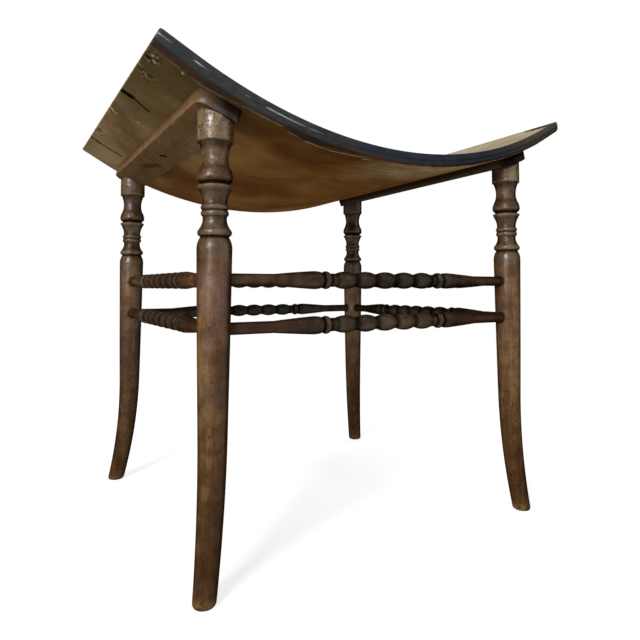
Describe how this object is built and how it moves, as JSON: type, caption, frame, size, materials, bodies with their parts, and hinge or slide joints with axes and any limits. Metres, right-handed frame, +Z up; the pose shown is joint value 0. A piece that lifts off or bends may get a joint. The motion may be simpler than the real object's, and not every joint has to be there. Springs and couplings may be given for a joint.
{
  "type": "thebes stool",
  "caption": "Stool with a board seat dished from side to side, on turned legs with sabre feet joined by paired bobbin turned stretchers.",
  "frame": {"origin": "on the floor, under the middle of the seat", "axes": "+X to the right along the seat's dish, +Y from the front edge to the back edge, +Z up"},
  "size_m": [0.4548, 0.364, 0.4255],
  "materials": {
    "seat_wood": "worn stain, dark painted long edges",
    "batten_wood": "plain stained wood",
    "leg_wood": "brown stain under an old satin varnish",
    "stretcher_wood": "dark brown stain, satin",
    "wedge_wood": "bare wood",
    "screw_steel": "dulled dark steel"
  },
  "bodies": {
    "root": {"seat": "seat_wood", "batten_left": "batten_wood", "batten_right": "batten_wood", "leg_front_left": "leg_wood", "leg_front_right": "leg_wood", "leg_back_left": "leg_wood", "leg_back_right": "leg_wood", "stretcher_front_upper": "stretcher_wood", "stretcher_front_lower": "stretcher_wood", "stretcher_back_upper": "stretcher_wood", "stretcher_back_lower": "stretcher_wood", "stretcher_left_upper": "stretcher_wood", "stretcher_left_lower": "stretcher_wood", "stretcher_right_upper": "stretcher_wood", "stretcher_right_lower": "stretcher_wood", "tenon_wedges": "wedge_wood", "batten_screws": "screw_steel"}
  },
  "joints": []
}
